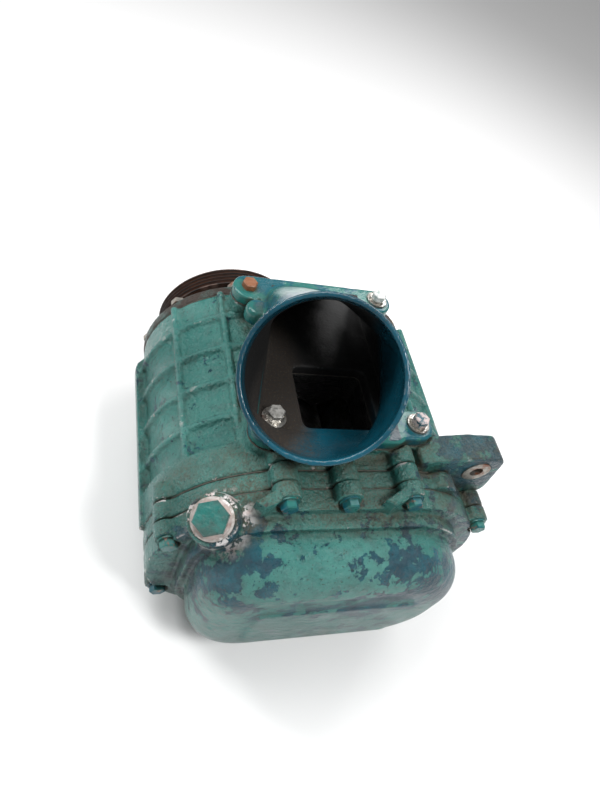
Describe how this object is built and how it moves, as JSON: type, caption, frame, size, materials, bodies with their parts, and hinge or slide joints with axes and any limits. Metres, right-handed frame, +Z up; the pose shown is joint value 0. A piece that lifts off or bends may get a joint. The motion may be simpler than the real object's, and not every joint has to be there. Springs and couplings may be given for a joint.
{
  "type": "clutch-driven twin-rotor supercharger",
  "caption": "Marine-diesel Roots-type supercharger: ribbed twin-rotor casing, gear cover, round-mouthed inlet duct and clutch pulley",
  "frame": {"origin": "centre of the outlet flange's face, which the part stands on", "axes": "+Y along both rotor shafts towards the clutch pulley, -Y towards the gear cover, +Z up towards the inlet duct"},
  "size_m": [0.2483, 0.2982, 0.264],
  "materials": {
    "sea_green_paint": "thick glossy brushed sea-green enamel over cast aluminium",
    "deep_teal_paint": "older deep teal enamel over cast aluminium",
    "bare_aluminium": "machined, oily",
    "ground_steel": "turned and ground",
    "bearing_steel": "polished",
    "pressed_steel": "pressed strip",
    "rusty_steel": "dark, lightly rusted",
    "plated_steel": "dull zinc plate, partly painted over and rusted",
    "soft_washer": "crushed, corroded",
    "seal_rubber": "moulded",
    "gasket_paper": "compressed fibre",
    "winding_resin": "varnished copper wire potted in resin",
    "black_plastic": "moulded"
  },
  "bodies": {
    "housing": {"rotor_casing": "sea_green_paint", "gear_end_plate": "sea_green_paint", "gear_cover": "sea_green_paint", "drive_end_plate": "sea_green_paint", "inlet_duct": "deep_teal_paint", "gear_end_gasket": "gasket_paper", "gear_cover_gasket": "gasket_paper", "drive_end_gasket": "gasket_paper", "inlet_gasket": "gasket_paper", "shaft_bearing_outer_races": "bearing_steel", "shaft_seals": "seal_rubber", "pulley_bearing_inner_race": "bearing_steel", "nose_circlip": "pressed_steel", "coil_housing": "rusty_steel", "coil_winding": "winding_resin", "coil_lead_gland": "black_plastic", "coil_screws": "plated_steel", "front_bolts": "plated_steel", "drive_end_bolts": "plated_steel", "inlet_bolts": "plated_steel", "inlet_spring_washers": "plated_steel", "inlet_flat_washers": "plated_steel", "filler_plug": "plated_steel", "filler_plug_washer": "soft_washer", "drain_plug": "plated_steel", "drain_plug_washer": "soft_washer", "locating_dowels": "ground_steel", "mounting_ear_insert": "plated_steel"},
    "drive_train": {"drive_rotor": "bare_aluminium", "drive_shaft": "ground_steel", "drive_gear": "ground_steel", "drive_gear_key": "ground_steel", "drive_gear_washer": "ground_steel", "drive_gear_nut": "ground_steel", "drive_bearing_inner_races": "bearing_steel", "clutch_hub": "ground_steel", "clutch_hub_key": "ground_steel", "clutch_hub_nut": "ground_steel"},
    "driven_train": {"driven_rotor": "bare_aluminium", "driven_shaft": "ground_steel", "driven_gear": "ground_steel", "driven_gear_key": "ground_steel", "driven_gear_washer": "ground_steel", "driven_gear_nut": "ground_steel", "driven_bearing_inner_races": "bearing_steel"},
    "drive_balls": {"drive_bearing_balls": "bearing_steel", "drive_bearing_cages": "pressed_steel"},
    "driven_balls": {"driven_bearing_balls": "bearing_steel", "driven_bearing_cages": "pressed_steel"},
    "pulley": {"clutch_pulley": "rusty_steel", "pulley_bearing_outer_race": "bearing_steel", "pulley_circlip": "pressed_steel"},
    "pulley_balls": {"pulley_bearing_balls": "bearing_steel", "pulley_bearing_cage": "pressed_steel"},
    "armature": {"armature_plate": "rusty_steel", "armature_leaf_springs": "pressed_steel", "armature_rivets": "ground_steel"}
  },
  "joints": [
    {"name": "drive_spin", "type": "hinge", "parent": "housing", "child": "drive_train", "pos_m": [-0.042, 0, 0.084], "axis": [0, 1, 0], "continuous": true},
    {"name": "driven_spin", "type": "hinge", "parent": "housing", "child": "driven_train", "pos_m": [0.042, 0, 0.084], "axis": [0, 1, 0], "continuous": true},
    {"name": "drive_ball_orbit", "type": "hinge", "parent": "housing", "child": "drive_balls", "pos_m": [-0.042, 0, 0.084], "axis": [0, 1, 0], "continuous": true},
    {"name": "driven_ball_orbit", "type": "hinge", "parent": "housing", "child": "driven_balls", "pos_m": [0.042, 0, 0.084], "axis": [0, 1, 0], "continuous": true},
    {"name": "pulley_spin", "type": "hinge", "parent": "housing", "child": "pulley", "pos_m": [-0.042, 0, 0.084], "axis": [0, 1, 0], "continuous": true},
    {"name": "pulley_ball_orbit", "type": "hinge", "parent": "housing", "child": "pulley_balls", "pos_m": [-0.042, 0, 0.084], "axis": [0, 1, 0], "continuous": true},
    {"name": "armature_slide", "type": "slide", "parent": "drive_train", "child": "armature", "axis": [0, 1, 0], "range_m": [-0.00045, 0], "stiffness_N_per_m": 60000}
  ],
  "couplings": [
    {"joint": "driven_spin", "follows": "drive_spin", "ratio": -1},
    {"joint": "drive_ball_orbit", "follows": "drive_spin", "ratio": 0.3987},
    {"joint": "driven_ball_orbit", "follows": "drive_spin", "ratio": -0.3987},
    {"joint": "pulley_ball_orbit", "follows": "pulley_spin", "ratio": 0.5569}
  ]
}
